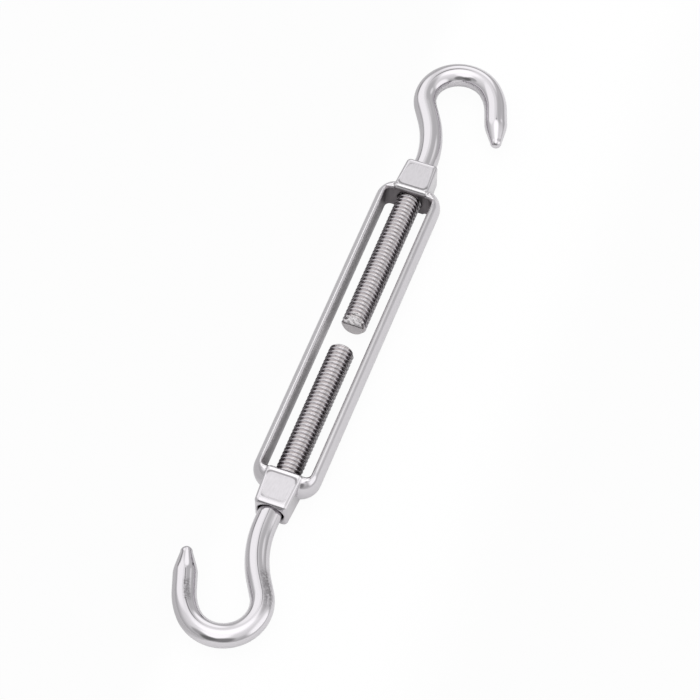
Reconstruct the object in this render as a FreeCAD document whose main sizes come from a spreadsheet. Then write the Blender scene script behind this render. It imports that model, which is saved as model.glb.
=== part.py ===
"""Open-body turnbuckle with a hook at each end, for rigging wire.

One cast frame carries two screws on a common axis. Each screw is a round bar
with a rolled thread at its inner end and a hook bent at its outer end. The two
threads have opposite hands, so turning the frame draws both hooks in or lets
both out. X runs along the thread axis, towards the left-hand hook. The hooks
and the frame lie flat, Z is up, and the floor is at Z = 0 under the bosses.
"""

import FreeCAD
import Part
import math
import os
import re

import Sketcher

PART_FOLDER = "parts"
ORIGIN, START, END = -1, 1, 2  # Sketcher's numbers for the axes and an edge's two ends
V = FreeCAD.Vector
UP = V(0, 0, 1)

# Driving sizes in millimetres and degrees: name, value, what it is.
SIZES = [
    ("window_length", 77.8, "clear length between the inner faces of the two bosses"),
    ("window_width", 11.1, "clear width between the flat inner sides of the two bars"),
    ("window_corner", 1.2, "radius of the window's corners"),
    ("bar_height", 6.9, "height of a bar"),
    ("bar_depth", 2.1, "how far a bar's rounded outer side stands out"),
    ("bar_edge", 0.4, "bevel of a bar's inner edges"),
    ("bar_crest", 0.3, "width of the slope between a bar's crest and its round side"),
    ("shoulder_extra", 1.4, "how much deeper a bar is where it joins a boss"),
    ("boss_length", 9.3, "length of a boss along the axis"),
    ("boss_base", 8.4, "width and height of a boss at the window"),
    ("boss_end", 7.4, "width and height of a boss at its outer end"),
    ("boss_round", 1.0, "rounding of a boss's long edges and outer rim"),
    ("boss_lip_bevel", 0.7, "bevel of a boss's lip at the window"),
    ("thread_major", 5.8, "outside diameter of the thread"),
    ("thread_pitch", 1.0, "pitch of the thread"),
    ("thread_length", 42.0, "length of the threaded part of a hook"),
    ("running_clearance", 0.05, "radial clearance between thread and bore"),
    ("bore_mouth", 0.3, "bevel at the outer mouth of a bore"),
    ("wire_size", 5.3, "diameter of the hook's plain bar"),
    ("end_gap", 6.7, "gap between the two shank ends as the hooks are set"),
    ("end_offset", 0.8, "how far the middle of that gap lies towards the right-hand hook"),
    ("shank_length", 46.9, "straight length of a hook, from its inner end to the neck"),
    ("neck_radius", 24.8, "radius of the gentle bend away from the hook's mouth"),
    ("neck_turn", 31.8, "turn of that bend"),
    ("neck_run", 3.4, "straight run between the neck and the hook's bend"),
    ("bend_radius", 8.0, "radius of the hook's bend, to the middle of the bar"),
    ("bend_turn", 168.4, "turn of the hook's bend"),
    ("flare_radius", 13.8, "radius of the wider bend towards the point"),
    ("flare_turn", 24.1, "turn of the wider bend"),
    ("point_run", 4.0, "straight run before the taper"),
    ("point_length", 5.15, "length of the tapered point, to the centre of its tip"),
    ("point_tip", 2.7, "diameter of the rounded tip"),
]

# Sizes that follow from the driving ones: name, formula, what it is.
DERIVED = [
    ("thread_depth", "thread_pitch * 0.6134", "depth of the rolled thread"),
    ("bore_size", "thread_major + 2 * running_clearance", "diameter of a bore"),
    ("bar_side", "(bar_height - bar_crest) / 2", "half height of a bar's round side"),
    ("bar_bulge", "bar_depth - bar_edge - bar_crest", "depth of that round side"),
    ("bar_arc", "(bar_side ^ 2 + bar_bulge ^ 2) / (2 * bar_bulge)", "its radius"),
    ("window_end", "window_length / 2", "flat inner face of a boss"),
    ("boss_outer", "window_end + boss_length", "outer face of a boss"),
    ("shoulder_start", "window_end + shoulder_extra", "inner side of a shoulder's outer half"),
    ("shoulder_corner", "window_corner + shoulder_extra", "corner radius of that half"),
    ("boss_slope", "(boss_base - boss_end) / (2 * boss_length)", "slope of a boss's sides"),
    ("axis_height", "boss_base / 2 - boss_lip_bevel * boss_slope",
     "height of the thread axis, with the lips of the bosses on the floor"),
    ("first_heading", "neck_turn - bend_turn", "heading at the end of the hook's bend"),
    ("point_heading", "first_heading - flare_turn", "heading of the point"),
    ("run_one_x", "shank_length + neck_radius * sin(neck_turn)", "end of the neck, X"),
    ("run_one_y", "neck_radius * (1 - cos(neck_turn))", "end of the neck, Y"),
    ("bend_start_x", "run_one_x + neck_run * cos(neck_turn)", "start of the bend, X"),
    ("bend_start_y", "run_one_y + neck_run * sin(neck_turn)", "start of the bend, Y"),
    ("bend_centre_x", "bend_start_x + bend_radius * sin(neck_turn)", "centre of the bend, X"),
    ("bend_centre_y", "bend_start_y - bend_radius * cos(neck_turn)", "centre of the bend, Y"),
    ("flare_start_x", "bend_centre_x - bend_radius * sin(first_heading)", "end of the bend, X"),
    ("flare_start_y", "bend_centre_y + bend_radius * cos(first_heading)", "end of the bend, Y"),
    ("flare_centre_x", "flare_start_x + flare_radius * sin(first_heading)",
     "centre of the wider bend, X"),
    ("flare_centre_y", "flare_start_y - flare_radius * cos(first_heading)",
     "centre of the wider bend, Y"),
    ("point_start_x", "flare_centre_x - flare_radius * sin(point_heading)",
     "end of the wider bend, X"),
    ("point_start_y", "flare_centre_y + flare_radius * cos(point_heading)",
     "end of the wider bend, Y"),
    ("taper_start_x", "point_start_x + point_run * cos(point_heading)", "start of the taper, X"),
    ("taper_start_y", "point_start_y + point_run * sin(point_heading)", "start of the taper, Y"),
]


def size_sheet(doc):
    """The spreadsheet of driving and derived sizes, one alias for each."""
    sheet = doc.addObject("Spreadsheet::Sheet", "Sizes")
    rows = [(name, repr(value), note) for name, value, note in SIZES]
    rows += [(name, "=" + formula, note) for name, formula, note in DERIVED]
    for row, (name, content, note) in enumerate(rows, start=1):
        sheet.set("A%d" % row, name)
        sheet.set("B%d" % row, content)
        sheet.set("C%d" % row, note)
        sheet.setAlias("B%d" % row, name)
    doc.recompute()
    return sheet


def tied(formula):
    """The formula with each size's name pointing at its cell in the sheet."""
    names = {entry[0] for entry in SIZES + DERIVED}
    return re.sub(r"[a-z_]+", lambda m: "Sizes." * (m.group() in names) + m.group(), formula)


def new_body(doc, name):
    body = doc.addObject("PartDesign::Body", name)
    body.Label = name
    return body


def base_feature(body, role):
    """One of a body's own base planes or axes, found by its role."""
    return next(f for f in body.Origin.OriginFeatures if f.Role == role)


def new_sketch(body, role, name):
    sketch = body.newObject("Sketcher::SketchObject", name)
    sketch.AttachmentSupport = [(base_feature(body, role), "")]
    sketch.MapMode = "FlatFace"
    return sketch


def value_of(sketch, formula):
    return float(sketch.evalExpression(tied(formula)))


def bind(sketch, formula, kind, *where):
    """Adds a dimension to a sketch and ties it to a formula of the sheet's cells."""
    value = value_of(sketch, formula)
    unit = ""
    if kind == "Angle":
        value, unit = math.radians(value), " * 1 deg"
    index = sketch.addConstraint(Sketcher.Constraint(kind, *where, value))
    sketch.setExpression("Constraints[%d]" % index, "(" + tied(formula) + ")" + unit)


def place(sketch, edge, end, x_formula, y_formula):
    """Fixes one point of a sketch at a place given by two formulas."""
    bind(sketch, x_formula, "DistanceX", ORIGIN, START, edge, end)
    bind(sketch, y_formula, "DistanceY", ORIGIN, START, edge, end)


def join(sketch, *joints):
    """Joins edges end to end where they run on smoothly: edge, end, next edge, its end."""
    for first, first_end, second, second_end in joints:
        sketch.addConstraint(Sketcher.Constraint("Tangent", first, first_end, second, second_end))


def arc(sketch, centre, radius, start, end):
    """Adds an arc that runs anticlockwise between two angles in degrees."""
    circle = Part.Circle(V(centre[0], centre[1], 0), UP, radius)
    return sketch.addGeometry(Part.ArcOfCircle(circle, math.radians(start), math.radians(end)), False)


def line(sketch, first, second):
    return sketch.addGeometry(Part.LineSegment(V(*first, 0), V(*second, 0)), False)


def polygon(sketch, corners):
    """A closed outline of straight edges through corners given as pairs of formulas."""
    points = [(value_of(sketch, x), value_of(sketch, y)) for x, y in corners]
    count = len(points)
    for i, point in enumerate(points):
        line(sketch, point, points[(i + 1) % count])
    for i in range(count):
        sketch.addConstraint(Sketcher.Constraint("Coincident", i, END, (i + 1) % count, START))
    for i, (x, y) in enumerate(corners):
        place(sketch, i, START, x, y)


def edges_where(feature, wanted):
    """Names of a feature's edges whose inner points all pass a test."""
    names = []
    for i, edge in enumerate(feature.Shape.Edges, start=1):
        first, last = edge.ParameterRange
        points = [edge.valueAt(first + (last - first) * k / 4) for k in (1, 2, 3)]
        if all(wanted(p) for p in points):
            names.append("Edge%d" % i)
    return names


def cast_frame(doc, sheet):
    """The frame: a tapered boss at each end and two bars with rounded outer sides.

    One end of it, a boss with its two half bars, is mirrored to make the other.
    """
    body = new_body(doc, "turnbuckle_frame")
    body.setExpression("Placement.Base.z", tied("axis_height"))
    boss(doc, body, sheet)
    halves = [half_bar(doc, body, "bar", "window_end", "window_corner"),
              half_bar(doc, body, "shoulder", "shoulder_start", "shoulder_corner"),
              web(doc, body)]
    bars = body.newObject("PartDesign::Mirrored", "both_half_bars")
    bars.Originals = halves
    bars.MirrorPlane = (base_feature(body, "XZ_Plane"), [""])
    body.Tip = bars
    doc.recompute()
    bore(doc, body, sheet)
    whole = body.newObject("PartDesign::Mirrored", "both_ends")
    whole.TransformMode = "Whole shape"
    whole.MirrorPlane = (base_feature(body, "YZ_Plane"), [""])
    body.Tip = whole
    doc.recompute()
    return body


def boss(doc, body, sheet):
    """A square boss that tapers outwards, with all its edges rounded."""
    block = body.newObject("PartDesign::AdditiveWedge", "boss")
    block.AttachmentSupport = [(base_feature(body, "XY_Plane"), "")]
    block.MapMode = "FlatFace"
    block.AttachmentOffset.Rotation = FreeCAD.Rotation(UP, -90)
    block.setExpression("Ymin", tied("window_end"))
    block.setExpression("Ymax", tied("boss_outer"))
    for across in ("X", "Z"):
        block.setExpression(across + "min", tied("-boss_base / 2"))
        block.setExpression(across + "max", tied("boss_base / 2"))
        block.setExpression(across + "2min", tied("-boss_end / 2"))
        block.setExpression(across + "2max", tied("boss_end / 2"))
    doc.recompute()

    def at_window(point):
        return abs(point.x - sheet.window_end) < 1e-4

    rounds = body.newObject("PartDesign::Fillet", "boss_rounds")
    rounds.Base = (block, edges_where(block, lambda point: not at_window(point)))
    rounds.setExpression("Radius", tied("boss_round"))
    doc.recompute()
    lip = body.newObject("PartDesign::Chamfer", "boss_lip")
    lip.Base = (rounds, edges_where(rounds, at_window))
    lip.setExpression("Size", tied("boss_lip_bevel"))
    doc.recompute()


def half_bar(doc, body, label, start, corner):
    """Half of a bar, swept from the axis round a corner of the window to mid length."""
    section = new_sketch(body, "XZ_Plane", label + "_section")
    bar_section(section, start)
    route = new_sketch(body, "XY_Plane", label + "_route")
    bar_route(route, start, corner)
    doc.recompute()
    sweep = body.newObject("PartDesign::AdditivePipe", label)
    sweep.Profile = section
    sweep.Spine = (route, ["Edge1", "Edge2", "Edge3"])
    doc.recompute()
    return sweep


def web(doc, body):
    """Fills a shoulder between the crests of its two sweeps."""
    outline = new_sketch(body, "XY_Plane", "web_outline")
    web_outline(outline)
    doc.recompute()
    plate = body.newObject("PartDesign::Pad", "web")
    plate.Profile = outline
    plate.Midplane = True
    plate.setExpression("Length", tied("bar_height"))
    doc.recompute()
    return plate


def bore(doc, body, sheet):
    """The bore for the thread, through the boss, with a bevelled mouth."""
    circle = new_sketch(body, "YZ_Plane", "bore_circle")
    circle.setExpression("AttachmentOffset.Base.z", tied("boss_outer"))
    circle.addGeometry(Part.Circle(V(0, 0, 0), UP, sheet.bore_size / 2), False)
    circle.addConstraint(Sketcher.Constraint("Coincident", 0, 3, ORIGIN, START))
    bind(circle, "bore_size", "Diameter", 0)
    doc.recompute()
    hole = body.newObject("PartDesign::Pocket", "bore")
    hole.Profile = circle
    hole.Type = "Length"
    hole.setExpression("Length", tied("boss_length * 1.1"))
    doc.recompute()

    def at_mouth(point):
        from_axis = math.hypot(point.y, point.z)
        return (abs(point.x - sheet.boss_outer) < 1e-4
                and abs(from_axis - sheet.bore_size / 2) < 1e-3)

    bevel = body.newObject("PartDesign::Chamfer", "bore_mouth")
    bevel.Base = (hole, edges_where(hole, at_mouth))
    bevel.setExpression("Size", tied("bore_mouth"))
    doc.recompute()


def bar_section(sketch, start):
    """A bar's section where it starts in the boss: flat inside, round outside."""
    crest, side = start + " + bar_edge", start + " + bar_edge + bar_crest"
    corners = [(side, "bar_side"), (crest, "bar_height / 2"), (start, "bar_height / 2 - bar_edge"),
               (start, "bar_edge - bar_height / 2"), (crest, "-bar_height / 2"), (side, "-bar_side")]
    points = [(value_of(sketch, x), value_of(sketch, y)) for x, y in corners]
    for first, second in zip(points, points[1:]):
        line(sketch, first, second)
    big, centre = value_of(sketch, "bar_arc"), value_of(sketch, start + " + bar_depth - bar_arc")
    swing = math.degrees(math.atan2(points[0][1], points[0][0] - centre))
    outer = arc(sketch, (centre, 0), big, -swing, swing)
    for i in range(outer):
        place(sketch, i, START, *corners[i])
        sketch.addConstraint(Sketcher.Constraint("Coincident", i, END, i + 1, START))
    sketch.addConstraint(Sketcher.Constraint("Coincident", outer, END, 0, START))
    place(sketch, outer, START, *corners[-1])
    bind(sketch, "bar_arc", "Radius", outer)


def bar_route(sketch, start, corner):
    """Half of one bar's route: out of the boss, round the corner, to the frame's middle."""
    end, side = value_of(sketch, start), value_of(sketch, "window_width / 2")
    radius = value_of(sketch, corner)
    out = line(sketch, (end, 0), (end, side - radius))
    bend = arc(sketch, (end - radius, side - radius), radius, 0, 90)
    along = line(sketch, (end - radius, side), (0, side))
    join(sketch, (out, END, bend, START), (bend, END, along, START))
    sketch.addConstraint(Sketcher.Constraint("Vertical", out))
    sketch.addConstraint(Sketcher.Constraint("Horizontal", along))
    bind(sketch, corner, "Radius", bend)
    place(sketch, out, START, start, "0")
    place(sketch, along, END, "0", "window_width / 2")


def web_outline(sketch):
    """The region between the crests of a shoulder's two sweeps, seen from above."""
    edge, side = value_of(sketch, "bar_edge"), value_of(sketch, "window_width / 2")
    near, far = value_of(sketch, "window_end"), value_of(sketch, "shoulder_start")
    small, big = value_of(sketch, "window_corner"), value_of(sketch, "shoulder_corner")
    inner = line(sketch, (near + edge, 0), (near + edge, side - small))
    bend = arc(sketch, (near - small, side - small), small + edge, 0, 90)
    round_out = arc(sketch, (far - big, side - big), big + edge, 0, 90)
    outer = line(sketch, (far + edge, side - big), (far + edge, 0))
    base = line(sketch, (far + edge, 0), (near + edge, 0))
    join(sketch, (inner, END, bend, START), (outer, START, round_out, START))
    for first, first_end, second, second_end in (
            (bend, END, round_out, END), (outer, END, base, START), (base, END, inner, START)):
        sketch.addConstraint(Sketcher.Constraint("Coincident", first, first_end, second, second_end))
    sketch.addConstraint(Sketcher.Constraint("Vertical", inner))
    sketch.addConstraint(Sketcher.Constraint("Vertical", outer))
    sketch.addConstraint(Sketcher.Constraint("Vertical", bend, 3, bend, END))
    place(sketch, inner, START, "window_end + bar_edge", "0")
    place(sketch, outer, END, "shoulder_start + bar_edge", "0")
    bind(sketch, "window_corner + bar_edge", "Radius", bend)
    bind(sketch, "window_width / 2 - window_corner", "DistanceY", ORIGIN, START, bend, 3)
    bind(sketch, "shoulder_corner + bar_edge", "Radius", round_out)


def hook(doc, name):
    """A screw with a hook, from its inner end at the body's origin outwards along X."""
    body = new_body(doc, name)

    outline = new_sketch(body, "XZ_Plane", name + "_shank_outline")
    polygon(outline, [
        ("0", "0"),
        ("0", "thread_major / 2 - thread_depth"),
        ("thread_depth", "thread_major / 2"),
        ("thread_length", "thread_major / 2"),
        ("thread_length + thread_depth", "wire_size / 2"),
        ("shank_length", "wire_size / 2"),
        ("shank_length", "0"),
    ])
    shank = body.newObject("PartDesign::Revolution", name + "_shank")
    shank.Profile = outline
    shank.ReferenceAxis = (base_feature(body, "X_Axis"), [""])
    shank.Angle = 360
    doc.recompute()

    section = new_sketch(body, "YZ_Plane", name + "_bar_section")
    section.setExpression("AttachmentOffset.Base.z", tied("shank_length"))
    section.addGeometry(Part.Circle(V(0, 0, 0), UP, value_of(section, "wire_size / 2")), False)
    section.addConstraint(Sketcher.Constraint("Coincident", 0, 3, ORIGIN, START))
    bind(section, "wire_size", "Diameter", 0)
    route = new_sketch(body, "XY_Plane", name + "_bar_route")
    hook_route(route)
    doc.recompute()
    bar = body.newObject("PartDesign::AdditivePipe", name + "_bar")
    bar.Profile = section
    bar.Spine = (route, ["Edge%d" % i for i in range(1, 6)])
    doc.recompute()

    outline = new_sketch(body, "XY_Plane", name + "_point_outline")
    outline.setExpression("AttachmentOffset.Base.x", tied("taper_start_x"))
    outline.setExpression("AttachmentOffset.Base.y", tied("taper_start_y"))
    outline.setExpression("AttachmentOffset.Rotation.Angle", tied("point_heading * 1 deg"))
    point_outline(outline)
    doc.recompute()
    point = body.newObject("PartDesign::Revolution", name + "_point")
    point.Profile = outline
    point.ReferenceAxis = (outline, ["H_Axis"])
    point.Angle = 360
    doc.recompute()
    return body


def hook_route(sketch):
    """The middle line of the bent bar: neck, run, bend, wider bend, run to the taper."""
    def at(x, y):
        return value_of(sketch, x), value_of(sketch, y)

    start = at("shank_length", "0")
    neck_turn = value_of(sketch, "neck_turn")
    first, last = value_of(sketch, "first_heading"), value_of(sketch, "point_heading")
    neck = arc(sketch, at("shank_length", "neck_radius"), value_of(sketch, "neck_radius"),
               -90, neck_turn - 90)
    run = line(sketch, at("run_one_x", "run_one_y"), at("bend_start_x", "bend_start_y"))
    bend = arc(sketch, at("bend_centre_x", "bend_centre_y"), value_of(sketch, "bend_radius"),
               first + 90, neck_turn + 90)
    flare = arc(sketch, at("flare_centre_x", "flare_centre_y"), value_of(sketch, "flare_radius"),
                last + 90, first + 90)
    tail = line(sketch, at("point_start_x", "point_start_y"), at("taper_start_x", "taper_start_y"))
    join(sketch, (neck, END, run, START), (run, END, bend, END),
         (bend, START, flare, END), (flare, START, tail, START))
    for edge, radius, turn in ((neck, "neck_radius", "neck_turn"), (bend, "bend_radius", "bend_turn"),
                               (flare, "flare_radius", "flare_turn")):
        bind(sketch, radius, "Radius", edge)
        bind(sketch, turn, "Angle", edge)
    place(sketch, neck, START, "shank_length", "0")
    bind(sketch, "shank_length", "DistanceX", ORIGIN, START, neck, 3)
    bind(sketch, "neck_run", "Distance", run)
    bind(sketch, "point_run", "Distance", tail)


def point_outline(sketch):
    """Half the section of the tapered point, its axis along the sketch's own X."""
    wide, tip = value_of(sketch, "wire_size / 2"), value_of(sketch, "point_tip / 2")
    length = value_of(sketch, "point_length")
    # The taper touches the round of the tip where their directions agree.
    lean = math.degrees(math.asin((wide - tip) / length))
    touch = (length + tip * math.sin(math.radians(lean)), tip * math.cos(math.radians(lean)))
    axis = line(sketch, (length + tip, 0), (0, 0))
    base = line(sketch, (0, 0), (0, wide))
    side = line(sketch, (0, wide), touch)
    cap = arc(sketch, (length, 0), tip, 0, 90 - lean)
    for first, first_end, second, second_end in (
            (axis, END, base, START), (base, END, side, START), (cap, START, axis, START)):
        sketch.addConstraint(Sketcher.Constraint("Coincident", first, first_end, second, second_end))
    join(sketch, (side, END, cap, END))
    place(sketch, axis, END, "0", "0")
    sketch.addConstraint(Sketcher.Constraint("Horizontal", axis))
    sketch.addConstraint(Sketcher.Constraint("Vertical", base))
    bind(sketch, "wire_size / 2", "Distance", base)
    bind(sketch, "point_tip / 2", "Radius", cap)
    place(sketch, cap, 3, "point_length", "0")


def check(doc, bodies):
    """Stops where an object failed or a piece isn't one closed solid."""
    failed = [o.Name for o in doc.Objects if {"Invalid", "Error"} & set(o.State)]
    if failed:
        raise SystemExit("failed objects: " + ", ".join(failed))
    for body in bodies:
        shape = body.Shape
        if shape.isNull() or not shape.isValid() or len(shape.Solids) != 1:
            raise SystemExit(body.Label + " isn't one valid solid")


def main():
    doc = FreeCAD.newDocument("turnbuckle")
    sheet = size_sheet(doc)
    frame = cast_frame(doc, sheet)
    left = hook(doc, "left_hand_hook")
    left.setExpression("Placement.Base.x", tied("end_gap / 2 - end_offset"))
    left.setExpression("Placement.Base.z", tied("axis_height"))
    right = hook(doc, "right_hand_hook")
    right.Placement.Rotation = FreeCAD.Rotation(UP, 180)
    right.setExpression("Placement.Base.x", tied("-end_gap / 2 - end_offset"))
    right.setExpression("Placement.Base.z", tied("axis_height"))
    doc.recompute()
    bodies = [frame, left, right]
    check(doc, bodies)
    os.makedirs(PART_FOLDER, exist_ok=True)
    for body in bodies:
        body.Shape.exportStep(os.path.join(PART_FOLDER, body.Label + ".step"))
        print(body.Label, "volume %.1f mm3" % body.Shape.Volume)


main()
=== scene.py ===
# %% [markdown]
# A turnbuckle with two hooks
#
# This is a small piece of deck hardware in polished stainless steel: an open cast frame
# with a screw in each end. One screw has a left-hand thread and the other a right-hand
# thread, so turning the frame pulls both hooks in together. The frame comes from the CAD
# model as it is. The hooks are made again here, because their threads are too fine for it.

# %% Load the CAD model
import math

import bmesh
import bpy
from mathutils import Matrix, Vector


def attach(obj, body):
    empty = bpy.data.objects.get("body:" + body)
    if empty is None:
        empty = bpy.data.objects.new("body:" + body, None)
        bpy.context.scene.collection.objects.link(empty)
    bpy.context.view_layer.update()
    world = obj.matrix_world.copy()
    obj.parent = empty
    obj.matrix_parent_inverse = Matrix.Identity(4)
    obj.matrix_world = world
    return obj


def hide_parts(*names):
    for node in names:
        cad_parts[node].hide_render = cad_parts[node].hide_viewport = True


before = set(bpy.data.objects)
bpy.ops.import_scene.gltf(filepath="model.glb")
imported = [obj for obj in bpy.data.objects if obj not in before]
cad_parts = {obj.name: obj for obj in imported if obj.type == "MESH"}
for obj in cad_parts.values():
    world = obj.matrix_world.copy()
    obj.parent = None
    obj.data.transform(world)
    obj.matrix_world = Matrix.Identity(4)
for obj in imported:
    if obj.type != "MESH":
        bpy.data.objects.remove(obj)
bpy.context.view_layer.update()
scene = bpy.context.scene
MM = 0.001
print("pieces in the CAD model:", ", ".join(sorted(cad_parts)))

# %% [markdown]
# A hook and its screw are one round bar. It could be drawn as a curve with a bevel, but a
# curve can't carry a thread. Its middle line is easy to say as a walk: so far straight on,
# then a turn of a certain radius, and so on. The sizes are the CAD model's own, in
# millimetres and degrees.

# %% The sizes of the bar and its thread
BAR_RADIUS = 2.65
THREAD_RADIUS = 2.9
THREAD_PITCH = 1.0
THREAD_DEPTH = 0.6134 * THREAD_PITCH
THREAD_LENGTH = 42.0
SHANK_LENGTH = 46.9
TAPER_LENGTH = 5.15
TIP_RADIUS = 1.35
# Each leg of the walk: how far straight on, or else a radius and a turn to the left.
BEND_LEGS = [("turn", 24.8, 31.8), ("run", 3.4), ("turn", 8.0, -168.4), ("turn", 13.8, -24.1),
             ("run", 4.0)]
AXIS_HEIGHT = 4.1624
print("the bar is %.1f mm thick and its thread %.1f mm" % (2 * BAR_RADIUS, 2 * THREAD_RADIUS))

# %% [markdown]
# Walking the legs gives stations: a place on the middle line, the heading there and how far
# we have come. A short step on the bends keeps them round. The threaded stretch needs ten
# stations in each turn of the thread, because there the radius itself changes.

# %% Walk along the bar
THREAD_STEP = THREAD_PITCH / 10
TURN_STEP = 3.0


def turn_stations(station, radius, degrees):
    """Stations round one bend, which starts at the given station."""
    x, y, start, gone = station
    turn = math.radians(degrees)
    side = math.copysign(1.0, turn)
    centre_x = x - side * radius * math.sin(start)
    centre_y = y + side * radius * math.cos(start)
    steps = math.ceil(abs(degrees) / TURN_STEP)
    rows = []
    for i in range(1, steps + 1):
        heading = start + turn * i / steps
        rows.append((centre_x + side * radius * math.sin(heading),
                     centre_y - side * radius * math.cos(heading),
                     heading, gone + abs(turn) * radius * i / steps))
    return rows


def walk_bar():
    """Stations (x, y, heading in radians, distance walked) from the inner end to the taper."""
    count = round((THREAD_LENGTH + 1) / THREAD_STEP)
    stations = [(i * THREAD_STEP, 0.0, 0.0, i * THREAD_STEP) for i in range(count + 1)]
    stations.append((SHANK_LENGTH, 0.0, 0.0, SHANK_LENGTH))
    for leg in BEND_LEGS:
        if leg[0] == "turn":
            stations += turn_stations(stations[-1], leg[1], leg[2])
        else:
            x, y, heading, gone = stations[-1]
            stations.append((x + leg[1] * math.cos(heading), y + leg[1] * math.sin(heading),
                             heading, gone + leg[1]))
    return stations


bar_stations = walk_bar()
taper_start = bar_stations[-1]
print("%d stations, %.1f mm of bar before the taper" % (len(bar_stations), taper_start[3]))

# %% [markdown]
# The hook ends in a blunt point: the bar tapers for five millimetres and closes in a round
# tip. A plain cone would meet the bar in a hard ring. The real taper starts softly, because
# it was ground by hand on a belt, so the radius follows a curve that bends at its start.

# %% Add the taper and the round tip
TAPER_STEPS = 12
TIP_STEPS = 10
TAPER_SOFTNESS = 0.25


def taper_radius(share):
    """The bar's radius a certain share of the way down the taper."""
    soft = math.sqrt(share * share + TAPER_SOFTNESS ** 2) - TAPER_SOFTNESS
    full = math.sqrt(1 + TAPER_SOFTNESS ** 2) - TAPER_SOFTNESS
    return BAR_RADIUS + (TIP_RADIUS - BAR_RADIUS) * soft / full


def point_stations():
    """Stations down the taper and round the tip, each with its own radius."""
    x, y, heading, gone = taper_start
    rows = []
    for i in range(1, TAPER_STEPS + 1):
        share = i / TAPER_STEPS
        rows.append((share * TAPER_LENGTH, taper_radius(share)))
    for i in range(1, TIP_STEPS):
        angle = math.pi / 2 * i / TIP_STEPS
        rows.append((TAPER_LENGTH + TIP_RADIUS * math.sin(angle), TIP_RADIUS * math.cos(angle)))
    return [(x + far * math.cos(heading), y + far * math.sin(heading), heading, gone + far, radius)
            for far, radius in rows]


tip_rows = point_stations()
print("the point is %.2f mm across near its tip" % (2 * tip_rows[TAPER_STEPS - 1][4]))

# %% [markdown]
# A screw thread is a ridge that climbs by one pitch in each turn round the bar. It could be
# a separate profile swept along a helix, but seen from the bar's own middle it is only a
# radius that depends on two things: how far along we are and which way we look. A right-hand
# and a left-hand thread differ in one sign. Rolled threads have round crests and roots, so
# the wave is a clipped triangle with soft corners.

# %% The shape of the thread
CREST_SHARE = 0.16
ROOT_SHARE = 0.24
END_BEVEL = THREAD_DEPTH


def smooth(share):
    """A step from 0 to 1 with soft ends."""
    share = min(max(share, 0.0), 1.0)
    return share * share * (3 - 2 * share)


def thread_cut(phase):
    """How deep the thread is cut, from 0 on the crest to 1 in the root."""
    away = abs(phase - math.floor(phase + 0.5)) * 2
    return smooth((away - CREST_SHARE) / (1 - CREST_SHARE - ROOT_SHARE))


def bar_radius(along, angle, hand, extra_length):
    """Radius of the threaded end: bevelled at its inner end, running out into the plain bar."""
    if along >= THREAD_LENGTH + THREAD_DEPTH:
        return BAR_RADIUS
    cut = thread_cut(along / THREAD_PITCH - hand * angle / math.tau)
    radius = THREAD_RADIUS - THREAD_DEPTH * cut
    bevel = THREAD_RADIUS - END_BEVEL + along + extra_length
    run_out = smooth((along - THREAD_LENGTH + THREAD_PITCH) / THREAD_PITCH)
    radius += (BAR_RADIUS - radius) * run_out
    return min(radius, bevel)


print("the thread is cut %.2f mm deep" % THREAD_DEPTH)

# %% [markdown]
# The hook's skin is a ring of points at each station. All rings have the same number of
# points, so that each can be joined to the next. One bar was cut a little longer than the
# other: its extra stations come before the first one.

# %% Rings of points
RING_POINTS = 56


def ring(station, radii):
    """The points of one ring, square to the bar's heading."""
    x, y, heading = station[:3]
    points = []
    for k, radius in enumerate(radii):
        angle = math.tau * k / RING_POINTS
        across, up = radius * math.cos(angle), radius * math.sin(angle)
        points.append(Vector((x - across * math.sin(heading), y + across * math.cos(heading), up)))
    return points


def hook_rings(hand, extra_length):
    """All rings of a hook, from its inner end to its tip, and how far along each one is."""
    extra_steps = round(extra_length / THREAD_STEP)
    extra = [(-i * THREAD_STEP, 0.0, 0.0, -i * THREAD_STEP) for i in range(extra_steps, 0, -1)]
    rows, along = [], []
    for station in extra + bar_stations:
        radii = [bar_radius(station[3], math.tau * k / RING_POINTS, hand, extra_length)
                 for k in range(RING_POINTS)]
        rows.append(ring(station, radii))
        along.append(station[3] + extra_length)
    for station in tip_rows:
        rows.append(ring(station, [station[4]] * RING_POINTS))
        along.append(station[3] + extra_length)
    return rows, along


print("%d points in each ring" % RING_POINTS)

# %% [markdown]
# Four-sided faces join each ring to the next, with a flat face on the inner end and a small
# cap on the tip, so the mesh is closed like a solid. Each face also gets a place on a UV
# map: the distance along the bar and the way round it. The finish follows the bar through
# its bends that way, which plain object coordinates couldn't do.

# %% Faces and their map
MAP_LENGTH = 100  # millimetres of bar in one unit of the map


def hook_faces(ring_count):
    """The faces between the rings, then the inner end, then the cap on the tip."""
    faces = []
    for i in range(ring_count - 1):
        for k in range(RING_POINTS):
            right = (k + 1) % RING_POINTS
            faces.append((i * RING_POINTS + k, i * RING_POINTS + right,
                          (i + 1) * RING_POINTS + right, (i + 1) * RING_POINTS + k))
    faces.append(tuple(reversed(range(RING_POINTS))))
    last = (ring_count - 1) * RING_POINTS
    faces.append(tuple(range(last, last + RING_POINTS)))
    return faces


def add_bar_map(mesh, along):
    """Says for each corner how far along the bar it is and how far round."""
    uv = mesh.uv_layers.new(name="bar_map")
    for polygon in mesh.polygons:
        places = [divmod(mesh.loops[corner].vertex_index, RING_POINTS)
                  for corner in polygon.loop_indices]
        closes_ring = any(k == RING_POINTS - 1 for _, k in places)
        for corner, (row, k) in zip(polygon.loop_indices, places):
            if k == 0 and closes_ring:
                k = RING_POINTS
            uv.data[corner].uv = (along[row] / MAP_LENGTH, k / RING_POINTS)


print("one unit of the map is %d mm of bar" % MAP_LENGTH)

# %% [markdown]
# One bar was sheared to length, which left a steep facet over its end. Moving points onto a
# slope would crumple the thread there. So a plane cuts the mesh, as the shears did, and one
# flat face closes the cut.

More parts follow.
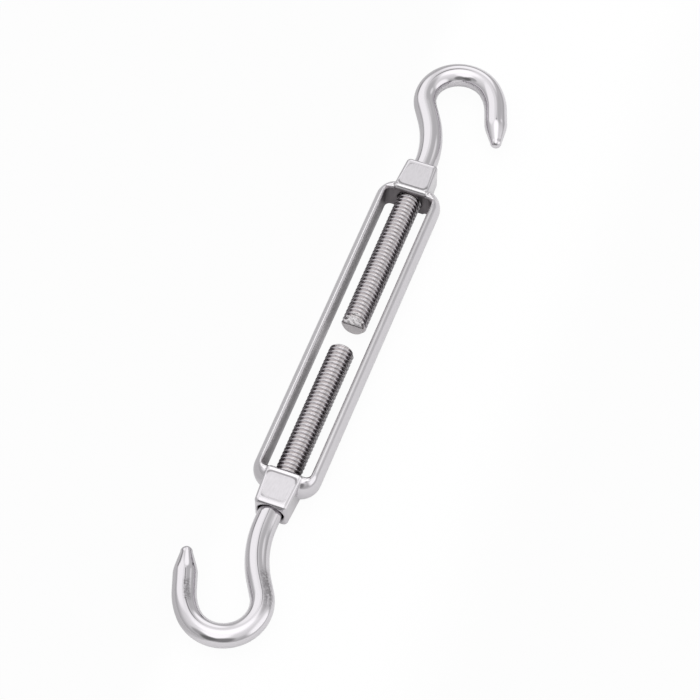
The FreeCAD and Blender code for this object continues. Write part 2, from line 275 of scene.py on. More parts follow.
# %% The sheared end
FOLD_HEIGHT = 1.1  # where the facet meets the flat end, above the bar's middle


def shear(mesh, lean, extra_length):
    """Cuts the upper corner off the bar's inner end and closes the cut with one flat face."""
    solid = bmesh.new()
    solid.from_mesh(mesh)
    everything = [*solid.verts, *solid.edges, *solid.faces]
    bmesh.ops.bisect_plane(solid, geom=everything, dist=0.0001, clear_outer=True,
                           plane_co=(-extra_length, 0, FOLD_HEIGHT), plane_no=(-1, 0, lean))
    rim = [edge for edge in solid.edges if edge.is_boundary]
    bar_map = solid.loops.layers.uv["bar_map"]
    for face in bmesh.ops.holes_fill(solid, edges=rim, sides=0)["faces"]:
        face.smooth = False
        for corner in face.loops:
            corner[bar_map].uv = (0, 0)
    print("sheared end closed: %s" % all(edge.is_manifold for edge in solid.edges))
    solid.to_mesh(mesh)
    solid.free()


def hook_mesh(name, hand, shear_lean, extra_length):
    """One hook with its screw, as a closed mesh in millimetres."""
    rows, along = hook_rings(hand, extra_length)
    faces = hook_faces(len(rows))
    mesh = bpy.data.meshes.new(name)
    mesh.from_pydata([point for row in rows for point in row], [], faces)
    mesh.polygons.foreach_set("use_smooth", [True] * len(faces))
    mesh.polygons[len(faces) - 2].use_smooth = False
    add_bar_map(mesh, along)
    if shear_lean:
        shear(mesh, shear_lean, extra_length)
    mesh.validate()
    return mesh


print("the facet starts %.1f mm above the bar's middle" % FOLD_HEIGHT)

# %% [markdown]
# The two hooks are the same bar with opposite threads, apart from one end: the left-hand
# one is half a millimetre longer and sheared. It lies as it was built. The other is turned
# half round, so the hooks open to opposite sides. Each rides on its own screw body and
# stands for that body's CAD solid.

# %% Place the two hooks
HOOKS = {
    "left_hand": {"hand": -1, "inner_end": 2.55, "turned": 0, "body": "left_screw",
                  "shear_lean": 1.4, "extra_length": 0.5},
    "right_hand": {"hand": 1, "inner_end": -4.15, "turned": 180, "body": "right_screw",
                   "shear_lean": 0.0, "extra_length": 0.0},
}
hooks = {}
for side, facts in HOOKS.items():
    name = side + "_threaded_hook"
    mesh = hook_mesh(name, facts["hand"], facts["shear_lean"], facts["extra_length"])
    piece = bpy.data.objects.new(name, mesh)
    scene.collection.objects.link(piece)
    place = Matrix.Translation(Vector((facts["inner_end"], 0, AXIS_HEIGHT)) * MM)
    turn = Matrix.Rotation(math.radians(facts["turned"]), 4, "Z")
    piece.data.transform(place @ turn @ Matrix.Scale(MM, 4))
    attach(piece, facts["body"])
    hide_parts(side + "_hook")
    hooks[side] = piece
    print("%s: %d faces" % (name, len(piece.data.polygons)))

# %% [markdown]
# Materials here are trees of nodes. Built by hand they are dragged about on a canvas; in a
# script each node is a call, and the same few calls come again and again. Small helpers
# with plain names keep the trees short enough to read.

# %% Helpers for node trees


def add(tree, kind, inputs=None, **settings):
    """Adds a node, sets its options and fills its inputs with values or links."""
    node = tree.nodes.new(kind)
    for option, value in settings.items():
        setattr(node, option, value)
    for socket, value in (inputs or {}).items():
        if isinstance(value, bpy.types.NodeSocket):
            tree.links.new(value, node.inputs[socket])
        else:
            node.inputs[socket].default_value = value
    return node


def math_node(tree, operation, first, second=0.0):
    """A sum, product or the like of two numbers."""
    return add(tree, "ShaderNodeMath", {0: first, 1: second}, operation=operation).outputs[0]


def times(tree, first, second):
    return math_node(tree, "MULTIPLY", first, second)


def plus(tree, first, second):
    return math_node(tree, "ADD", first, second)


def minus(tree, first, second):
    return math_node(tree, "SUBTRACT", first, second)


def parts_of(tree, vector):
    """The three numbers in a vector."""
    return add(tree, "ShaderNodeSeparateXYZ", {"Vector": vector}).outputs


print("helpers for numbers ready")

# %% [markdown]
# A mask is a number that is 1 where a finish applies and 0 elsewhere. A map range with a
# smooth step makes one from any length, and its soft edge looks more like wear and grinding
# than a hard one would. Masks then choose between two colours or two numbers.

# %% Helpers for masks and mixtures


def between(tree, value, low, high, first, last):
    """Maps a value from one range to another with a smooth step."""
    node = add(tree, "ShaderNodeMapRange", {"Value": value, "From Min": low, "From Max": high,
                                            "To Min": first, "To Max": last},
               interpolation_type="SMOOTHSTEP")
    return node.outputs["Result"]


def strip(tree, value, start, end, soft):
    """A mask for a strip of values, with soft ends."""
    return times(tree, between(tree, value, start - soft, start, 0, 1),
                 between(tree, value, end, end + soft, 1, 0))


def blend(tree, factor, first, second):
    """A colour between two others."""
    return add(tree, "ShaderNodeMix", {"Factor": factor, 6: first, 7: second},
               data_type="RGBA").outputs[2]


def blend_number(tree, factor, first, second):
    """A number between two others."""
    return add(tree, "ShaderNodeMix", {"Factor": factor, 2: first, 3: second}).outputs[0]


def noise(tree, place, scale, detail, roughness=0.5, stretch=None):
    """Cloudy noise from 0 to 1, finer for a larger scale. A stretch makes streaks of it."""
    if stretch:
        stretched = add(tree, "ShaderNodeMapping", {"Vector": place, "Scale": stretch})
        place = stretched.outputs["Vector"]
    return add(tree, "ShaderNodeTexNoise", {"Vector": place, "Scale": scale, "Detail": detail,
                                            "Roughness": roughness}).outputs["Fac"]


print("helpers for masks ready")

# %% [markdown]
# Steel has no colour of its own to speak of: it shows its surroundings. What tells one
# steel from another is how clear that picture is, so metals differ in roughness more than
# in colour. An ambient occlusion node darkens the colour in corners and near other
# surfaces: that is painted shade, put where shade would fall.

# %% Helpers for steel
# Painted shade: ambient occlusion darkens the steel's colour near other surfaces within this
# reach.
SHADE_REACH = 5 * MM
PAINTED_SHADE_TONE = (0.02, 0.018, 0.018, 1)
DARK_BELOW = 0.05
NODE_SAMPLES = 8


def new_steel(name, tone, roughness):
    """A metal material with the polish that is the same all over it."""
    material = bpy.data.materials.new(name)
    material.use_nodes = True
    shader = material.node_tree.nodes["Principled BSDF"]
    shader.inputs["Metallic"].default_value = 1.0
    shader.inputs["Base Color"].default_value = tone
    shader.inputs["Roughness"].default_value = roughness
    return material, shader


def from_axis(tree):
    """Where a point is, in millimetres from the middle of the screws' axis."""
    where = add(tree, "ShaderNodeTexCoord").outputs["Object"]
    lowered = add(tree, "ShaderNodeVectorMath", {0: where, 1: (0, 0, -AXIS_HEIGHT * MM)},
                  operation="ADD").outputs[0]
    return add(tree, "ShaderNodeVectorMath", {0: lowered, "Scale": 1 / MM},
               operation="SCALE").outputs[0]


def paint_corner_shade(tree, tone, darkest, unshaded_from):
    """Paints shade into a tone: darker where ambient occlusion finds other surfaces close by."""
    open_share = add(tree, "ShaderNodeAmbientOcclusion", {"Distance": SHADE_REACH},
                     samples=NODE_SAMPLES).outputs["AO"]
    share = between(tree, open_share, DARK_BELOW, unshaded_from, darkest, 1.0)
    return blend(tree, share, PAINTED_SHADE_TONE, tone)


print("tarnish reaches %.0f mm" % (SHADE_REACH / MM))

# %% [markdown]
# Before and after its bend, the lower hook has a scuffed spot where the bending tool held
# it. A spot is a strip along the bar times a strip round it, and fine noise breaks it up.
# An image would look more exact, but it would have to be drawn, and this needs no file.

# %% Scuffed spots
SCUFF_TONE = (0.36, 0.345, 0.36, 1)
# Where each spot starts and ends along the bar's map, and how softly.
BEFORE_BEND, BEFORE_BEND_SOFT = (0.61, 0.65), (0.03, 0.04)
AFTER_BEND, AFTER_BEND_SOFT = (0.91, 0.94), 0.02
# How far round the bar the spots fade in or out. A quarter of a turn is its top.
FADE_BEFORE, FADE_AFTER = (0.18, 0.26), (0.22, 0.27)
ROUND_FROM, ROUND_TO = (0.04, 0.12), (0.31, 0.37)
SPECKLE_SCALE, SPECKLE_RANGE = 2.0, (0.25, 0.65)


def scuff_mask(tree, place, gone, way_round):
    """Speckled marks on the top of the lower hook's bar, at two places along it."""
    start, end = BEFORE_BEND
    before_bend = times(tree, between(tree, gone, start - BEFORE_BEND_SOFT[0], start, 0, 1),
                        between(tree, gone, end, end + BEFORE_BEND_SOFT[1], 1, 0))
    before_bend = times(tree, before_bend, between(tree, way_round, *FADE_BEFORE, 1, 0))
    after_bend = strip(tree, gone, *AFTER_BEND, AFTER_BEND_SOFT)
    after_bend = times(tree, after_bend, between(tree, way_round, *FADE_AFTER, 0, 1))
    spot = plus(tree, before_bend, after_bend)
    spot = times(tree, spot, between(tree, way_round, *ROUND_FROM, 0, 1))
    spot = times(tree, spot, between(tree, way_round, *ROUND_TO, 1, 0))
    on_lower_hook = between(tree, parts_of(tree, place)["X"], -1, 1, 1, 0)
    spot = times(tree, spot, on_lower_hook)
    speckle = noise(tree, place, SPECKLE_SCALE, 5.0)
    return times(tree, spot, between(tree, speckle, *SPECKLE_RANGE, 0, 1))


print("scuffs at %.0f and %.0f mm along the bar" % (BEFORE_BEND[0] * MAP_LENGTH,
                                                    AFTER_BEND[0] * MAP_LENGTH))

# %% [markdown]
# Shears leave an end in two parts: torn and bright above, dull below. Where they meet, a
# dark line is painted: a painted reflection along the fold. The end's faces all lie at
# nought on the map, so one mask finds them.

# %% The finish of a bar's end
SHEARED_TONE = (0.64, 0.62, 0.63, 1)
END_TONE = (0.63, 0.605, 0.615, 1)
# Dark for the torn marks and for the painted reflection along the fold.
DARK_MARK_AND_REFLECTION_TONE = (0.12, 0.11, 0.115, 1)
END_ON_MAP = (0.0004, 0.0009)
TORN_RANGE, TORN_SHARE = (0.46, 0.62), 0.6
# The painted dark reflection line in millimetres above the fold, and how far the noise moves it.
FOLD_LINE, FOLD_SOFT, FOLD_WAVE = (0.16, 0.28), 0.12, 0.5
DULL_HEIGHT, TORN_HEIGHT = 0.6, 4.0


def end_finish(tree, place, gone):
    """The bar's end: torn and bright above the fold, dull below, with a painted dark reflection
    along the fold. Gives a mask, tone and height.
    """
    end = between(tree, gone, *END_ON_MAP, 1, 0)
    above = minus(tree, parts_of(tree, place)["Z"], FOLD_HEIGHT)
    ragged = noise(tree, place, 2.2, 4.0)
    tone = blend(tree, between(tree, above, -0.05, 0.05, 0, 1), END_TONE, SHEARED_TONE)
    torn = between(tree, ragged, *TORN_RANGE, 0, TORN_SHARE)
    torn = times(tree, torn, between(tree, above, 0.0, 0.2, 0, 1))
    ragged_fold = plus(tree, above, times(tree, ragged, FOLD_WAVE))
    # Painted reflection: a dark line along the fold.
    fold = strip(tree, ragged_fold, *FOLD_LINE, FOLD_SOFT)
    tone = blend(tree, math_node(tree, "MAXIMUM", torn, fold), tone, DARK_MARK_AND_REFLECTION_TONE)
    rise = between(tree, above, 0.0, 0.3, DULL_HEIGHT, TORN_HEIGHT)
    height = times(tree, ragged, rise)
    return end, tone, height


print("the fold is %.1f mm above the bar's middle" % FOLD_HEIGHT)

# %% [markdown]
# The thread was never polished, so its roots are a little dull and brownish. How deep a
# point lies in the thread is its distance from the axis, and the map says where the thread
# ends. Both could be stored on the mesh, but nodes can work them out.

# %% The colour of the bar
BAR_TONE = (0.64, 0.62, 0.645, 1)
ROOT_TONE = (0.62, 0.585, 0.585, 1)
THREAD_END = THREAD_LENGTH / MAP_LENGTH
# Distances from the axis between which a root fades in and out.
ROOT_FROM, ROOT_TO = (2.0, 2.2), (2.35, 2.85)
# How dark the painted shade gets on the plain bar, how much deeper on the thread, and from which
# openness it fades out.
BAR_DARKEST, THREAD_DARKER, BAR_UNSHADED_FROM = 0.75, 0.5, 0.38


def bar_tone(tree, place, threaded, scuffed):
    """Clean steel, brownish in the thread's roots, grey where it is scuffed, with painted shade
    from ambient occlusion that is deeper on the thread.
    """
    off_axis = add(tree, "ShaderNodeVectorMath", {0: place, 1: (0, 1, 1)},
                   operation="MULTIPLY").outputs[0]
    radius = add(tree, "ShaderNodeVectorMath", {0: off_axis}, operation="LENGTH").outputs["Value"]
    root = times(tree, between(tree, radius, *ROOT_FROM, 0, 1),
                 between(tree, radius, *ROOT_TO, 1, 0))
    root = times(tree, threaded, root)
    tone = blend(tree, scuffed, blend(tree, root, BAR_TONE, ROOT_TONE), SCUFF_TONE)
    darkest = minus(tree, BAR_DARKEST, times(tree, threaded, THREAD_DARKER))
    return paint_corner_shade(tree, tone, darkest, BAR_UNSHADED_FROM)


print("the thread ends at %.2f on the map" % THREAD_END)

# %% [markdown]
# The plain bar is polished bright, but not like a mirror. Very fine lines run round it from
# the polishing belt, and shallow flats run along it, which make its reflections waver. They
# are far too shallow to model, so bump gives them: a bump node only tilts the light.

# %% The relief of the bar
BAR_BUMP = 0.00002
LINE_STRETCH, LINE_HEIGHT = (900, 6, 1), 0.06
FLAT_STRETCH, FLAT_HEIGHT = (3, 22, 1), 1.4
SCUFF_DEPTH = 0.6


def bar_relief(tree, bar_map, scuffed, end, end_height):
    """The belt's lines and flats, the hollows of the scuffs and the torn end."""
    lines = noise(tree, bar_map, 1.0, 4.0, 0.6, LINE_STRETCH)
    flats = noise(tree, bar_map, 1.0, 1.0, 0.5, FLAT_STRETCH)
    height = plus(tree, times(tree, lines, LINE_HEIGHT), times(tree, flats, FLAT_HEIGHT))
    height = minus(tree, height, times(tree, scuffed, SCUFF_DEPTH))
    height = plus(tree, height, times(tree, end, end_height))
    return add(tree, "ShaderNodeBump", {"Height": height, "Strength": 1.0, "Distance": BAR_BUMP})


print("a height of 1 stands for %.2f mm on the bar" % (BAR_BUMP / MM))

# %% [markdown]
# The bar's material joins these parts. Both hooks share it, because they are cut from the
# same stock, and the map gives each its own place in the noise.

# %% The polished bar
CLOUD_RANGE = (0.35, 0.7)  # the part of the noise's range that is used
BAR_ROUGH, THREAD_ROUGHER, END_ROUGHER = (0.03, 0.09), 0.12, 0.2


def polished_bar():
    """The material of both hooks."""
    material, shader = new_steel("polished_bar", BAR_TONE, 0.12)
    tree = material.node_tree
    bar_map = add(tree, "ShaderNodeUVMap", uv_map="bar_map").outputs["UV"]
    place = from_axis(tree)
    gone, way_round, _ = parts_of(tree, bar_map)
    threaded = between(tree, gone, THREAD_END, THREAD_END + 0.01, 1, 0)
    scuffed = scuff_mask(tree, place, gone, way_round)
    end, end_tone, end_height = end_finish(tree, place, gone)
    tone = blend(tree, end, bar_tone(tree, place, threaded, scuffed), end_tone)
    tree.links.new(tone, shader.inputs["Base Color"])
    rough = between(tree, noise(tree, place, 0.18, 3.0), *CLOUD_RANGE, *BAR_ROUGH)
    rough = plus(tree, rough, times(tree, threaded, THREAD_ROUGHER))
    rough = plus(tree, rough, times(tree, end, END_ROUGHER))
    tree.links.new(rough, shader.inputs["Roughness"])
    bump = bar_relief(tree, bar_map, scuffed, end, end_height)
    tree.links.new(bump.outputs["Normal"], shader.inputs["Normal"])
    return material


bar_steel = polished_bar()
for piece in hooks.values():
    piece.data.materials.append(bar_steel)
print("hooks polished")

# %% [markdown]
# The frame is an investment casting. Its outside is polished, but each boss has a satin panel
# on top and below, a little sunk, with a bead between it and the window. A distance from the
# panel's outline is enough to make it: negative inside, nought on the line, positive outside.
# Only the end at the window has a groove; on the other sides the satin fades into the edge.

# %% The panel on a boss
WINDOW_END = 38.9
PANEL_MIDDLE, PANEL_HALF_LENGTH, PANEL_HALF_WIDTH = 4.6, 3.1, 3.65
PANEL_TAPER = 0.12
PANEL_CORNER = 1.7
PANEL_SOFT, LINE_SOFT, FACE_HEIGHT = 0.3, (0.05, 0.3), (3.2, 3.4)
# How far from the window the groove and the bead fade in or out.
LINE_STOPS, BEAD_STARTS, BEAD_STOPS = (1.8, 3.0), (0.0, 0.5), (0.8, 1.4)


def panel_masks(tree, along, across, high):
    """Masks for a panel, its outline and the bead beside it, from lengths in millimetres."""
    reach = minus(tree, along, WINDOW_END)
    past_end = math_node(tree, "ABSOLUTE", minus(tree, reach, PANEL_MIDDLE))
    past_end = minus(tree, past_end, PANEL_HALF_LENGTH)
    half_width = minus(tree, PANEL_HALF_WIDTH, times(tree, reach, PANEL_TAPER))
    past_side = minus(tree, across, half_width)
    outside = add(tree, "ShaderNodeMath", {0: past_end, 1: past_side, 2: PANEL_CORNER},
                  operation="SMOOTH_MAX").outputs[0]
    on_face = between(tree, high, *FACE_HEIGHT, 0, 1)
    panel = times(tree, on_face, between(tree, outside, -PANEL_SOFT, PANEL_SOFT, 1, 0))
    line = between(tree, math_node(tree, "ABSOLUTE", outside), *LINE_SOFT, 1, 0)
    line = times(tree, line, between(tree, reach, *LINE_STOPS, 1, 0))
    bead = times(tree, between(tree, reach, *BEAD_STARTS, 0, 1),
                 between(tree, reach, *BEAD_STOPS, 1, 0))
    return panel, times(tree, on_face, line), times(tree, on_face, bead)


print("panels %.1f mm long" % (2 * PANEL_HALF_LENGTH))

# %% [markdown]
# The inside of the window is as cast: darker and dull, because no belt reaches in there. Its
# colour also holds painted shade, darkest round the bosses. The crests of the bars get a
# painted highlight, and along the right bar runs a thin painted dark reflection. Lengths
# from the frame's middle find all of these, because the bars are straight.

# %% Masks on the bars
# Where each mask fades in or out, in millimetres from the middle.
INNER_SIDE, BAR_ENDS, BAR_TOP = (5.6, 5.9), (36, 38), (2.8, 3.0)
CAST_ENDS = (WINDOW_END + 0.02, WINDOW_END + 0.2)
# Where the painted highlight lies across each bar's crest.
CREST, CREST_SOFT = (6.0, 6.4), 0.15
# Where the painted dark reflection runs along the right bar.
REFLECTION_LINE, REFLECTION_LINE_SOFT = (5.83, 5.97), 0.12


def bar_masks(tree, in_mm, along, across, high):
    """Masks for the window's inside, the painted highlight on the bars' crests and the painted
    dark reflection line along the right bar.
    """
    inside = times(tree, between(tree, across, *INNER_SIDE, 1, 0),
                   between(tree, along, *CAST_ENDS, 1, 0))
    on_bar = times(tree, between(tree, along, *BAR_ENDS, 1, 0),
                   between(tree, high, *BAR_TOP, 0, 1))
    crest = times(tree, on_bar, strip(tree, across, *CREST, CREST_SOFT))
    on_right = between(tree, parts_of(tree, in_mm)["Y"], -1, 0, 1, 0)
    on_line = strip(tree, across, *REFLECTION_LINE, REFLECTION_LINE_SOFT)
    dark_reflection_line = times(tree, on_right, times(tree, on_bar, on_line))
    return inside, crest, dark_reflection_line


print("masks on the bars ready")

# %% [markdown]
# The frame's colours differ only a little, as steel's do: what reads as grey or white is
# mostly what the surface reflects. Each mask lays its tone over those before it, so the
# order matters: the painted highlights of crests and beads on clean steel, then the inside
# of the window with its painted shade, then the painted dark lines.

# %% The colour of the frame
FRAME_TONE = (0.63, 0.61, 0.635, 1)
SATIN_TONE = (0.58, 0.562, 0.585, 1)
# Painted highlight: crests and beads are lighter in colour where they would catch the light.
PAINTED_HIGHLIGHT_TONE = (0.80, 0.78, 0.80, 1)
# The inside of the window: partly its dull as-cast colour and partly painted shade, lighter
# towards the rims and darkest near the bosses.
CAST_AND_SHADE_TONE = (0.39, 0.372, 0.385, 1)
RIM_LIT_TONE = (0.70, 0.68, 0.70, 1)
CORNER_SHADE_TONE = (0.29, 0.268, 0.281, 1)
# Painted shade and dark reflection for the groove at a panel's window end.
GROOVE_SHADE_TONE = (0.24, 0.23, 0.24, 1)
STROKE_STRETCH, STROKE_RANGE = (0.7, 2.6, 1), (0.3, 0.7)
BEAD_HIGHLIGHT_SHARE, RIM_RISE, CORNER_REACH = 0.8, (0.4, 3.4), (33, 38)
# How dark the painted shade from ambient occlusion gets on the frame, and from which openness it
# fades out.
FRAME_DARKEST, FRAME_UNSHADED_FROM = 0.55, 0.6


def frame_tone(tree, in_mm, along, high, masks):
    """The colour all over the frame, with its painted highlights, painted shade and painted dark
    lines.
    """
    panel, line, bead, inside, crest, dark_reflection_line = masks
    strokes = noise(tree, in_mm, 1.0, 4.0, 0.5, STROKE_STRETCH)
    satin_tone = blend(tree, between(tree, strokes, *STROKE_RANGE, 0, 1), SATIN_TONE, FRAME_TONE)
    tone = blend(tree, panel, FRAME_TONE, satin_tone)
    # Painted highlight on the crests and, in part, on the bead.
    tone = blend(tree, crest, tone, PAINTED_HIGHLIGHT_TONE)
    tone = blend(tree, times(tree, bead, BEAD_HIGHLIGHT_SHARE), tone, PAINTED_HIGHLIGHT_TONE)
    # Painted shade inside the window: darker at the screws' height and darkest near the bosses.
    cast_and_shade_tone = blend(tree, between(tree, high, *RIM_RISE, 0, 1), CAST_AND_SHADE_TONE, RIM_LIT_TONE)
    cast_and_shade_tone = blend(tree, between(tree, along, *CORNER_REACH, 0, 1), cast_and_shade_tone, CORNER_SHADE_TONE)
    tone = blend(tree, inside, tone, cast_and_shade_tone)
    # A painted dark reflection along the right bar, in the inside's tone.
    tone = blend(tree, dark_reflection_line, tone, CAST_AND_SHADE_TONE)
    # Painted shade: the groove is drawn as a dark line in the colour.
    tone = blend(tree, line, tone, GROOVE_SHADE_TONE)
    return paint_corner_shade(tree, tone, FRAME_DARKEST, FRAME_UNSHADED_FROM)


print("red runs from %.2f in the lines to %.2f on the crests" % (GROOVE_SHADE_TONE[0], PAINTED_HIGHLIGHT_TONE[0]))

# %% [markdown]
# The sunk panel, its groove and its bead are only about a tenth of a millimetre deep or high,
# so bump gives them too. The edges of the bars are drawn almost sharp in the CAD model. A
# bevel node softens how they catch the light and leaves the mesh as it is.

# %% The relief of the frame
FRAME_BUMP = 0.00008
EDGE_RADIUS = 0.5 * MM
PANEL_DEPTH, GROOVE_DEPTH, BEAD_HEIGHT = 0.7, 0.8, 1.7
SATIN_GRAIN, CAST_GRAIN = 0.12, 0.2


def frame_relief(tree, in_mm, masks):
    """Grain on the satin and cast parts, the sunk panel, its groove and the bead."""
    panel, line, bead, inside, _, _ = masks
    graininess = plus(tree, times(tree, panel, SATIN_GRAIN), times(tree, inside, CAST_GRAIN))
    height = times(tree, noise(tree, in_mm, 5.0, 2.0), graininess)
    height = minus(tree, height, times(tree, panel, PANEL_DEPTH))
    height = minus(tree, height, times(tree, line, GROOVE_DEPTH))
    height = plus(tree, height, times(tree, bead, BEAD_HEIGHT))
    edges = add(tree, "ShaderNodeBevel", {"Radius": EDGE_RADIUS}, samples=NODE_SAMPLES)
    return add(tree, "ShaderNodeBump", {"Height": height, "Strength": 1.0,
                                        "Distance": FRAME_BUMP, "Normal": edges.outputs[0]})


print("edges softened over %.1f mm" % (EDGE_RADIUS / MM))

# %% [markdown]
# The frame's material joins these parts. The frame keeps its CAD mesh and only gets this
# material in its slot. Lengths from the axis work on all four quarters of it at once, since
# it is the same left and right, above and below.

# %% The cast frame
FRAME_ROUGH, SATIN_ROUGH, CAST_ROUGH = (0.07, 0.15), 0.33, 0.42


def cast_steel():
    """The material of the frame."""
    material, shader = new_steel("cast_steel", FRAME_TONE, 0.15)
    tree = material.node_tree
    in_mm = from_axis(tree)
    lengths = add(tree, "ShaderNodeVectorMath", {0: in_mm}, operation="ABSOLUTE").outputs[0]
    along, across, high = parts_of(tree, lengths)
    masks = (*panel_masks(tree, along, across, high), *bar_masks(tree, in_mm, along, across, high))
    panel, inside = masks[0], masks[3]
    tree.links.new(frame_tone(tree, in_mm, along, high, masks), shader.inputs["Base Color"])
    polish = between(tree, noise(tree, in_mm, 0.3, 2.0), *CLOUD_RANGE, *FRAME_ROUGH)
    satin = blend_number(tree, panel, polish, SATIN_ROUGH)
    tree.links.new(blend_number(tree, inside, satin, CAST_ROUGH), shader.inputs["Roughness"])
    bump = frame_relief(tree, in_mm, masks)
    tree.links.new(bump.outputs["Normal"], shader.inputs["Normal"])
    return material


cast_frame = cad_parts["turnbuckle_frame"]
cast_frame.data.materials.clear()
cast_frame.data.materials.append(cast_steel())
print("frame finished")

# %% [markdown]
# The floor is a matt white board that glows white to the camera. A board lit from above
# would come out grey; more light would make it white, but the steel would clip. So the glow
# is mixed in for the camera: the object still throws its shadow, and the steel sees mostly
# the real board, with the shade under the bars. A painted shadow makes the board greyer on
# the object's left, and painted shade greys it further off on its right; the bars reflect
# these as their darker lines.

# %% The floor
FLOOR_SIZE = 4.0
CAMERA_GLOW, STEEL_GLOW = 0.95, 0.2
BOARD_WHITE, BOARD_PAINTED_SHADE = (0.9, 0.9, 0.9, 1), (0.58, 0.58, 0.58, 1)
# Where the painted shadow on the board lies: to the object's left and further off to its right.
LEFT_SHADE, RIGHT_SHADE = (4 * MM, 14 * MM), (-55 * MM, -30 * MM)
WHITE = (1, 1, 1, 1)


def white_floor():
    """The board's material."""
    material = bpy.data.materials.new("white_floor")
    material.use_nodes = True
    tree = material.node_tree
    tree.nodes.clear()
    rays = add(tree, "ShaderNodeLightPath").outputs
    glow = add(tree, "ShaderNodeEmission", {"Color": WHITE, "Strength": 1.0})
    leftwards = parts_of(tree, add(tree, "ShaderNodeTexCoord").outputs["Object"])["Y"]
    # Painted shadow on the board, greyer to the object's left and far to its right.
    painted_shade = plus(tree, between(tree, leftwards, *LEFT_SHADE, 0, 1),
                  between(tree, leftwards, *RIGHT_SHADE, 1, 0))
    board = blend(tree, painted_shade, BOARD_WHITE, BOARD_PAINTED_SHADE)
    matt = add(tree, "ShaderNodeBsdfDiffuse", {"Color": board})
    share = plus(tree, times(tree, rays["Is Camera Ray"], CAMERA_GLOW),
                 times(tree, rays["Is Glossy Ray"], STEEL_GLOW))
    mixed = add(tree, "ShaderNodeMixShader", {0: share, 1: matt.outputs[0], 2: glow.outputs[0]})
    add(tree, "ShaderNodeOutputMaterial", {"Surface": mixed.outputs[0]})
    return material


half = FLOOR_SIZE / 2
floor_mesh = bpy.data.meshes.new("floor")
floor_mesh.from_pydata([(-half, -half, 0), (half, -half, 0), (half, half, 0), (-half, half, 0)],
                       [], [(0, 1, 2, 3)])
floor_mesh.materials.append(white_floor())
floor = bpy.data.objects.new("floor", floor_mesh)
scene.collection.objects.link(floor)
print("floor %.0f m wide" % FLOOR_SIZE)

# %% [markdown]
# Polished steel is only as good as what it reflects. Area lamps would do, but their outlines
# would show in the bars. The reflections in the photograph tell where the light came from:
# bright overhead, a big soft light on each side, and dark gaps low on the camera's side,
# which draw the fine dark lines along the bars. So the sky is a ramp from the horizon up,
# with round patches on it that have soft edges.

# %% The sky and its patches
# Brightness of the sky at each elevation, in degrees.
SKY_LEVELS = [(0, 0.56), (12, 0.62), (24, 0.80), (36, 0.95), (50, 1.05), (62, 1.19),
              (72, 1.55), (90, 1.65)]
# Where a patch is (azimuth and elevation), its core and its outer radius, how bright it is.
PATCHES = [
    (62, 36, 19, 29, 1.34),
    (272, 12, 16, 34, 1.45),
    (180, 58, 12, 26, 1.55),
    (335, 42, 12, 30, 0.66),
    (320, 30, 4, 10, 1.05),
    (10, 30, 9, 20, 1.45),
    (12, 60, 2, 6, 0.40),
    (150, 34, 8, 18, 0.50),
    (200, 22, 10, 24, 0.30),
    (172, 23, 9, 20, 0.20),
    (60, -2, 7, 14, 0.30),
]


def direction_of(azimuth, elevation):
    """A direction as a vector, from two angles in radians."""
    return Vector((math.cos(elevation) * math.cos(azimuth),
                   math.cos(elevation) * math.sin(azimuth), math.sin(elevation)))


def sky_ramp(tree, up):
    """Grey levels by elevation."""
    sky = add(tree, "ShaderNodeValToRGB", {"Fac": up})
    ramp = sky.color_ramp.elements
    while len(ramp) < len(SKY_LEVELS):
        ramp.new(0.5)
    for element, (elevation, level) in zip(ramp, SKY_LEVELS):
        element.position = math.sin(math.radians(elevation))
        element.color = (level, level, level, 1)
    return sky.outputs["Color"]


def lay_patch(tree, light, direction, patch):
    """Lays one round patch over the sky."""
    azimuth, elevation, core, outer = (math.radians(angle) for angle in patch[:4])
    level = patch[4]
    near = add(tree, "ShaderNodeVectorMath", {0: direction, 1: direction_of(azimuth, elevation)},
               operation="DOT_PRODUCT").outputs["Value"]
    mask = between(tree, near, math.cos(outer), math.cos(core), 0, 1)
    return blend(tree, mask, light, (level, level, level, 1))


print("%d sky levels and %d patches" % (len(SKY_LEVELS), len(PATCHES)))

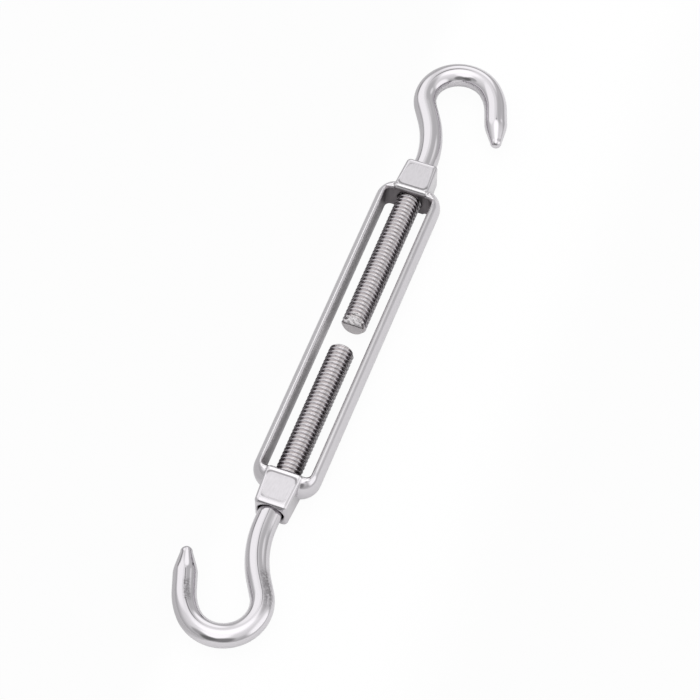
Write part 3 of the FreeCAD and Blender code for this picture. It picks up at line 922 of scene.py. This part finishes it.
# %% [markdown]
# The world sends this sky to the steel and the floor. The camera sees plain white instead,
# which Light Path's Is Camera Ray tells apart, so the background stays clean beyond the
# floor's edge.

# %% The world


def studio_world():
    """The world that lights the object."""
    world = bpy.data.worlds.new("studio")
    world.use_nodes = True
    tree = world.node_tree
    tree.nodes.clear()
    direction = add(tree, "ShaderNodeTexCoord").outputs["Generated"]
    light = sky_ramp(tree, parts_of(tree, direction)["Z"])
    for patch in PATCHES:
        light = lay_patch(tree, light, direction, patch)
    studio = add(tree, "ShaderNodeBackground", {"Color": light, "Strength": 1.0})
    white = add(tree, "ShaderNodeBackground", {"Color": WHITE, "Strength": 1.0})
    seen = add(tree, "ShaderNodeLightPath").outputs["Is Camera Ray"]
    mixed = add(tree, "ShaderNodeMixShader", {0: seen, 1: studio.outputs[0], 2: white.outputs[0]})
    add(tree, "ShaderNodeOutputWorld", {"Surface": mixed.outputs[0]})
    return world


scene.world = studio_world()
print("world made:", scene.world.name)

# %% [markdown]
# The camera's place and lens were worked out from the outlines of the bars and bosses in
# the photograph: it looks down at 58 degrees through a long lens.

# %% The camera
CAMERA_ELEVATION = math.radians(57.697)
CAMERA_AZIMUTH = math.radians(200.484)
CAMERA_ROLL = math.radians(0.116)
CAMERA_DISTANCE = 639.195 * MM
CAMERA_TARGET = Vector((-3.536, -1.473, AXIS_HEIGHT)) * MM
CAMERA_LENS, SENSOR_WIDTH = 148.617, 36.0

away = direction_of(CAMERA_AZIMUTH, CAMERA_ELEVATION)
camera_data = bpy.data.cameras.new("camera")
camera_data.sensor_fit = "HORIZONTAL"
camera_data.sensor_width = SENSOR_WIDTH
camera_data.lens = CAMERA_LENS
camera_data.clip_start = 0.01
camera = bpy.data.objects.new("camera", camera_data)
look = (-away).to_track_quat("-Z", "Y").to_matrix().to_4x4()
camera.matrix_world = (Matrix.Translation(CAMERA_TARGET + away * CAMERA_DISTANCE) @ look
                       @ Matrix.Rotation(CAMERA_ROLL, 4, "Z"))
scene.collection.objects.link(camera)
scene.camera = camera
scene.view_settings.view_transform = "Standard"
print("camera %.0f mm away" % (CAMERA_DISTANCE / MM))
